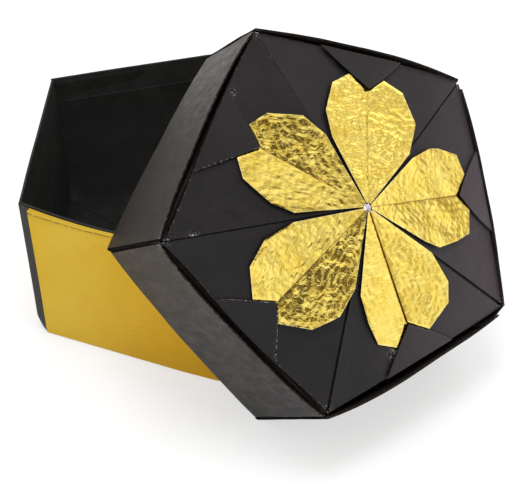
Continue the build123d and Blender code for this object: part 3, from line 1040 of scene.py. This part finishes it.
def settled(points):
    """Tray points in the row frame, moved as the real box has settled.

    The rim stands up a little at the left and behind and leans out at the left, and the lid's weight bows
    the front outwards at the rim and the foot.
    """
    x, y, z = points[..., 0], points[..., 1], points[..., 2]
    high = np.clip(z / tray_height, 0, 1) ** 1.6
    near_front = np.exp(-(((y + tray_flat) / (7 * MM)) ** 2))
    along = np.clip(x / tray_side + 0.5, 0, 1)
    bow = near_front * 4 * along * (1 - along)
    up = high * rim_lift * (1 - 1.6 * bow) * np.clip((30 * MM - x) / (40 * MM), 0, 1)
    behind = np.clip(0.5 + (y + tray_flat) / (120 * MM), 0, 1)
    splay = high * rim_splay * np.clip(-x / (35 * MM), 0, 1) * behind
    foot = foot_bow * near_front * (1 - high) * np.clip((x + 18 * MM) / (35 * MM), -0.5, 1)
    return points + at(-splay, -rim_bow * bow * high - foot, up)


def tray_piece(name, wall, skins, carried=None, gold=False, turned=True):
    """Sheet of one tray unit or of its gold panel, whose skins are given with the wall towards -Y."""
    skins = [settled(on_tray(skin, wall)) for skin in skins]
    piece = sheet(f"{name}_{wall}", skins, tray_gold if gold else tray_black, carried, None, turned)
    if gold:
        place_piece(piece, f"tray_panel_{wall}")
    else:
        place_piece(piece, f"tray_unit_{wall}")


def tray_profile():
    """Rows of a tray wall from its foot, over the rim, to the end of the hem inside.

    Each row gives inset and height of the front skin, the same of the back skin, wear, and a share of
    painted light: a highlight at the hem's lower edge, a faint lift on the hem, and an even paler tone
    outside.
    """
    radius = tray_pack / 2
    inner = radius - tray_sheet
    fold_height = tray_height - radius
    hem_end = tray_height - tray_hem_depth
    rows = [(0.0, z, tray_sheet, z, 0.0, 0.1) for z in row_heights(fold_height, 16)]
    for angle in np.linspace(0, math.pi, 8)[1:]:
        c, s = math.cos(angle), math.sin(angle)
        front = radius * (1 - c), fold_height + radius * s
        back = radius - inner * c, fold_height + inner * s
        rows.append((*front, *back, 0.08 * s, 0.0))
    # Inside, the hem gets a faint painted light and its lower edge a painted highlight line
    for z in (*np.linspace(fold_height, hem_end + 0.6 * MM, 9)[1:], hem_end + 0.3 * MM, hem_end):
        rows.append((tray_pack, z, tray_pack - tray_sheet, z, 0.0, 1.0 if z == hem_end else 0.12))
    return rows


def tray_wall(wall):
    shares = spread(34, 0.014)
    inset, z, back_inset, back_z, wear_and_shade, sheen_and_tone = np.array(tray_profile()).T[..., None]
    front = blunted(wall_grid(inset, z, shares, *wall_ends_in), 0.8 * MM)
    back = blunted(wall_grid(back_inset, back_z, shares, *wall_ends_in), 1.1 * MM)
    wave = (ripple(front, 20 * MM, wall + 60) * 0.12 * MM)[..., None] * OUTWARD
    wave = wave * np.clip(front[..., 2:3] / (8 * MM), 0, 1)
    carried = {key: np.repeat(values, len(shares), 1) for key, values in (("wear_and_shade", wear_and_shade), ("sheen_and_tone", sheen_and_tone))}
    tray_piece("tray_wall", wall, (front + wave, back + wave), carried)


def tray_lining(wall):
    """Layer behind the outer wall, which shows inside the tray below the hem."""
    shares = spread(30, 0.014)
    z = row_heights(tray_height - 2 * MM, 14)[:, None] + 0.1 * MM
    skins = []
    for extra, inset in ((0.78 * MM, 1.8 * MM), (0.40 * MM, 1.3 * MM)):
        skins.append(blunted(wall_grid(extra, z, shares, *lining_ends_in), inset))
    # Painted light: the lining is paler low down, near the tray's floor, and less so on the left wall, which
    # is lit
    low, fall = (0.24, 0.14) if wall == 5 else (0.55, 0.6)
    height = settled(on_tray(skins[0], wall))[..., 2]
    sheen_tone = low - fall * np.clip(height / tray_height, 0, 1)
    tray_piece("tray_lining", wall, skins, {"sheen_and_tone": np.clip(sheen_tone, 0, 1)}, turned=False)


def tray_tab(wall):
    """The wall's own end, folded round its right corner and laid on the next wall."""
    tip_x, tip_y = corner(tray_flat, wall_inset_right, wall_inset_right, 1)
    turn_in = STEP - math.atan2(wall_inset_left - wall_inset_right, tray_side)
    centre_x, centre_y = tip_x - tab_radius * math.tan(turn_in / 2), tip_y + tab_radius
    bend = np.linspace(0, turn_in, 7)
    length = np.linspace(tab_step, tab_length, 14)
    # The tab that lies on the left wall ends lower, so that the gold panel there still covers it
    top = tray_height - (3.5 if wall == 4 else 0.55) * MM
    z = np.concatenate((row_heights(top - 0.35 * MM, 14), [top]))[:, None]
    skins = []
    for radius, inset in ((tab_radius, 0.45 * MM), (tab_radius - tray_sheet, 0.8 * MM)):
        x, y = centre_x + radius * np.sin(bend), centre_y - radius * np.cos(bend)
        x = np.concatenate((x[:1] - tab_step, x, x[-1] + math.cos(turn_in) * length))
        y = np.concatenate((y[:1], y, y[-1] + math.sin(turn_in) * length))
        skins.append(blunted(at(x, y, z), inset))
    wear_and_shade = np.zeros(skins[0].shape[:2])
    wear_and_shade[-1] = 0.5
    tray_piece("tray_tab", wall, skins, {"wear_and_shade": wear_and_shade, "sheen_and_tone": np.full_like(wear_and_shade, 0.14)})


def tray_floor(wall):
    """Sector of the tray's bottom."""
    reach = np.linspace(0.8 * MM, tray_flat - 1.7 * MM, 24)[:, None]
    x = (reach * math.tan(HALF_STEP) - 0.15 * MM) * (2 * spread(24, 0.02) - 1)
    top, under = at(x, -reach, MM), at(x, -reach, 0.2 * MM)
    top[..., 2] += ripple(top, 12 * MM, wall + 80) * 0.1 * MM
    skins = [on_tray(blunted(skin, 1.9 * MM), wall) for skin in (top, under)]
    place_piece(sheet(f"tray_floor_{wall}", skins, tray_black), f"tray_unit_{wall}")


for wall in range(1, SIDES + 1):
    tray_wall(wall)
    tray_lining(wall)
    tray_tab(wall)
    tray_floor(wall)

# %% [markdown]
# ## The tray's gold panels
#
# A gold sheet lies over the outside of each wall and leaves a black strip free at its left end. Its top edge
# is rolled over outwards into a narrow hem, wider at the left, and the foil is creased under it. The dark
# dotted line under the hem is painted, partly as that crease and partly as the hem's shadow. The gold is
# also painted darker and more orange towards the right and the foot, as shade. The black wall stands a
# little above the gold.

# %% Gold panels
panel_sheet = 0.33 * MM
panel_strip = 3.3 * MM
panel_foot = 0.3 * MM
hem_skin = 0.16 * MM
hem_gap = 0.02 * MM
# How far below the rim and how far from the right corner each panel ends, in millimetres. In the photograph
# the rear and the left rim show no gold, so those panels end lower, and the left one also shorter
panel_margins = {1: (-0.1, 0.6), 2: (0.4, 0.6), 3: (1.8, 0.6), 4: (1.8, 0.6), 5: (3.2, 4.2)}


def panel_line(wall, z, shares):
    """Places from end to end of the panel at a height. Its upper left corner is cut off a little."""
    below, short = panel_margins[wall]
    left = panel_strip - tray_side / 2 + np.maximum(0.0, z - (tray_height - below * MM - 1.3 * MM)) * 0.9
    right = corner(tray_flat, 0.0, short * MM, 1)[0]
    return left + (right - left) * shares


def hem_height(shares):
    """How far the hem reaches down along the panel."""
    return (1.7 - 0.7 * np.clip(shares / 0.4, 0, 1)) * MM


def tray_panel(wall):
    shares = spread(60, 0.01)
    panel_top = tray_height - panel_margins[wall][0] * MM
    creased = np.linspace(panel_top - 2.6 * MM, panel_top - 0.3 * MM, 12)
    z = np.concatenate((row_heights(panel_top - 3 * MM, 24, panel_foot), creased))[:, None]
    x = panel_line(wall, z, shares)
    front, back = at(x, -tray_flat, z), at(x, panel_sheet - tray_flat, z)
    dents = ripple(front, 13 * MM, wall + 90) * 0.10 + ripple(front, 5 * MM, wall + 91) * 0.03
    inside = np.clip(np.minimum(z, panel_top - z) / (5 * MM), 0, 1)
    push = (np.abs(dents) * inside * MM)[..., None] * OUTWARD
    under_hem = panel_top - hem_height(shares) - z
    # Painted dark dotted line under the hem: partly the foil's crease, partly the hem's shadow
    crease = np.exp(-np.abs(under_hem - 0.35 * MM) / (0.4 * MM)) * (under_hem > -0.1 * MM)
    from_left = (x - x[:, :1]) / tray_side
    # Painted shade: darker towards the right and the foot, where the gold mirrors the table in the lid's
    # shadow
    painted_shade = np.clip(from_left * 1.1 - 0.25 + (1 - z / panel_top) * 0.25, 0, 1)
    skins = blunted(front + push, 0.0), blunted(back, panel_sheet)
    tray_piece("gold_panel", wall, skins, {"wear_and_shade": crease, "painted_shade": painted_shade}, gold=True)


def panel_hem(wall):
    """The rolled edge: a strip in front of the panel, over its top, and a little way down behind."""
    shares = spread(60, 0.01)
    hem_proud = 0.2 * MM if wall == 1 else 0.05 * MM
    hem_radius = (panel_sheet + hem_proud) / 2 + hem_gap
    middle = hem_radius - hem_proud - hem_gap
    panel_top = tray_height - panel_margins[wall][0] * MM
    top = panel_top - hem_radius
    rough = ripple(at(shares * tray_side, 0.0, 0.0), 2.5 * MM, wall + 95)
    lower = panel_top - hem_height(shares) + rough * 0.10 * MM
    x = panel_line(wall, panel_top - 0.3 * MM, shares)
    skins = []
    for radius in (hem_radius, hem_radius - hem_skin):
        rows = [at(x, middle - radius - tray_flat, lower + (top - lower) * up) for up in np.linspace(0, 1, 5)]
        for angle in np.linspace(0, math.pi, 8)[1:]:
            rows.append(at(x, middle - radius * math.cos(angle) - tray_flat, top + radius * math.sin(angle)))
        skins.append(np.array(rows))
    tray_piece("gold_hem", wall, skins, gold=True)


for wall in range(1, SIDES + 1):
    tray_panel(wall)
    panel_hem(wall)

# %% [markdown]
# ## Floor, light and surroundings
#
# The photograph was made in a white studio, and its pale floor runs past the edges of the picture. The world
# is what the foil mirrors: dim cloth with light panels, whose borders fall on the petals, so that a ripple
# has a bright and a dim side. One dark place high in front, where a photographer would stand, turns the
# halves that face it olive-brown. A soft lamp nearly overhead makes the shadow.

# %% Floor
floor_half = 3.0
floor_drop = 0.05 * MM
floor_mesh = bpy.data.meshes.new("floor")
floor_corners = [(x * floor_half, y * floor_half, 0) for x, y in ((-1, -1), (1, -1), (1, 1), (-1, 1))]
floor_mesh.from_pydata(floor_corners, [], [(0, 1, 2, 3)])
floor = bpy.data.objects.new("floor", floor_mesh)
floor.location.z = -floor_drop
bpy.context.scene.collection.objects.link(floor)
table = Finish(bpy.data.materials.new("white_table"))
seen = table.node("ShaderNodeLightPath", output="Is Camera Ray")
mirrored = table.node("ShaderNodeLightPath", output="Is Glossy Ray")
through = table.node("ShaderNodeLightPath", output="Is Transmission Ray")
matt = table.node("ShaderNodeBsdfDiffuse", None, {"Color": rgb(0.92, 0.93, 0.945)})
# The floor glows a little to the camera, to mirrors and through glass, so it stays white
glow = table.node("ShaderNodeEmission", None, {"Color": rgb(1.0, 1.0, 1.0), "Strength": 1.15})
share = seen * 0.50 + (mirrored + through) * 0.45
shown = table.node("ShaderNodeMixShader", None, {0: share, 1: matt, 2: glow})
table.node("ShaderNodeOutputMaterial", None, {"Surface": shown})
floor_mesh.materials.append(table.owner)
print("floor:", 2 * floor_half, "m wide")

# %% World and lamp
world = bpy.data.worlds.new("studio")
bpy.context.scene.world = world
studio = Finish(world)
direction = studio.node("ShaderNodeTexCoord", output="Generated")


def towards(place, wide, narrow):
    """1 in the directions within `narrow` degrees of a place, and 0 beyond `wide` degrees."""
    inputs = {0: direction, 1: Vector(place).normalized()}
    facing = studio.node("ShaderNodeVectorMath", {"operation": "DOT_PRODUCT"}, inputs, "Value")
    return facing.between(math.cos(math.radians(wide)), math.cos(math.radians(narrow)))


# Pale cloth all round, and a darker brown one behind at the right
cloth = studio.noise(direction, 1 / 4.5, 1.0, 0.5).between(0.40, 0.60)
wall_light = studio.blend(cloth, rgb(0.62, 0.58, 0.52), rgb(1.10, 1.10, 1.10))
screen = studio.blend(cloth, rgb(0.34, 0.27, 0.16), rgb(0.47, 0.40, 0.28))
lit = studio.blend(towards((0.85, 0.40, 0.30), 62, 40), wall_light, screen)
# Light panels: where each lies, beyond how many degrees it ends, within how many it is full, and its light
panels = (
    ((-0.35, 0.35, 0.87), 42, 22, 1.35),
    ((0.36, 0.715, 0.60), 21.5, 0, 1.72),
    ((0.603, -0.762, 0.237), 31, 0, 1.27),
    ((0.188, 0.194, 0.964), 31, 0, 1.22),
    ((0.910, 0.155, 0.380), 34, 6, 1.36),
)
for place, wide, narrow, light in panels:
    lit = studio.blend(towards(place, wide, narrow), lit, rgb(light, light, light))
# The dark place that the shaded halves of two petals mirror
colour = studio.blend(towards((0.45, -0.51, 0.733), 20.5, 10), lit, rgb(0.09, 0.058, 0.032))
background = studio.node("ShaderNodeBackground", None, {"Color": colour, "Strength": 1.0})
studio.node("ShaderNodeOutputWorld", None, {"Surface": background})

lamp_data = bpy.data.lights.new("soft_lamp", "AREA")
lamp_data.shape = "DISK"
lamp_data.size = 0.3
lamp_data.energy = 2.2
lamp = bpy.data.objects.new("soft_lamp", lamp_data)
lamp.location = (0.08, -0.12, 0.85)
lamp_aim = Vector((0.03, -0.02, 0.03))
# The foil mirrors the world's panels only, so the lamp makes no sparks on it
lamp.visible_glossy = False
lamp.rotation_euler = (lamp_aim - lamp.location).to_track_quat("-Z", "Y").to_euler()
bpy.context.scene.collection.objects.link(lamp)
print("world with", len(panels), "light panels, and one lamp")
